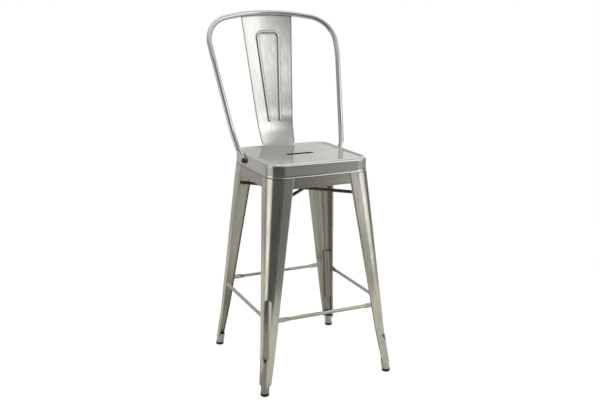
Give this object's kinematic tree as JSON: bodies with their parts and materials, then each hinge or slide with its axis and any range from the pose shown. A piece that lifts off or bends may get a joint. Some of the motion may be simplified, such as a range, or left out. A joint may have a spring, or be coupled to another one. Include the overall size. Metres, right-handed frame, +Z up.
{
  "type": "bar stool",
  "caption": "Sheet-steel counter stool with folded tapering legs, dished seat with a hand slot, footrest bars, and a bolted tube hoop back with a ribbed splat.",
  "frame": {"origin": "on the floor, under the middle of the whole stool's box, hoop included", "axes": "X across the stool, +Y to its back, +Z up; the sitter faces -Y"},
  "size_m": [0.4396, 0.4838, 1.077],
  "materials": {
    "seat_steel": "brushed sheet steel under a satin clear coat",
    "leg_steel": "brushed sheet steel under a satin clear coat, grain along the leg",
    "back_steel": "brushed sheet steel under a satin clear coat, grain up the splat",
    "tube_steel": "polished tube under a satin clear coat",
    "ferrule_steel": "plain tube with weld tint",
    "brace_steel": "dark mill-scale rod",
    "dark_bolt": "black oxide",
    "black_glide": "matt black moulded rubber"
  },
  "bodies": {
    "root": {"apron_front": "leg_steel", "apron_left": "leg_steel", "apron_rear": "leg_steel", "apron_right": "leg_steel", "back_hoop": "tube_steel", "back_splat": "back_steel", "brace_lower": "brace_steel", "brace_upper": "brace_steel", "ferrule_front_left": "ferrule_steel", "ferrule_front_right": "ferrule_steel", "ferrule_rear_left": "ferrule_steel", "ferrule_rear_right": "ferrule_steel", "footrest_front": "tube_steel", "footrest_left": "tube_steel", "footrest_rear": "tube_steel", "footrest_right": "tube_steel", "glide_front_left": "black_glide", "glide_front_right": "black_glide", "glide_rear_left": "black_glide", "glide_rear_right": "black_glide", "hoop_bolts": "dark_bolt", "hoop_nuts": "dark_bolt", "leg_front_left": "leg_steel", "leg_front_right": "leg_steel", "leg_rear_left": "leg_steel", "leg_rear_right": "leg_steel", "seat_pan": "seat_steel", "splat_bolts": "dark_bolt", "splat_nuts": "dark_bolt"}
  },
  "joints": []
}
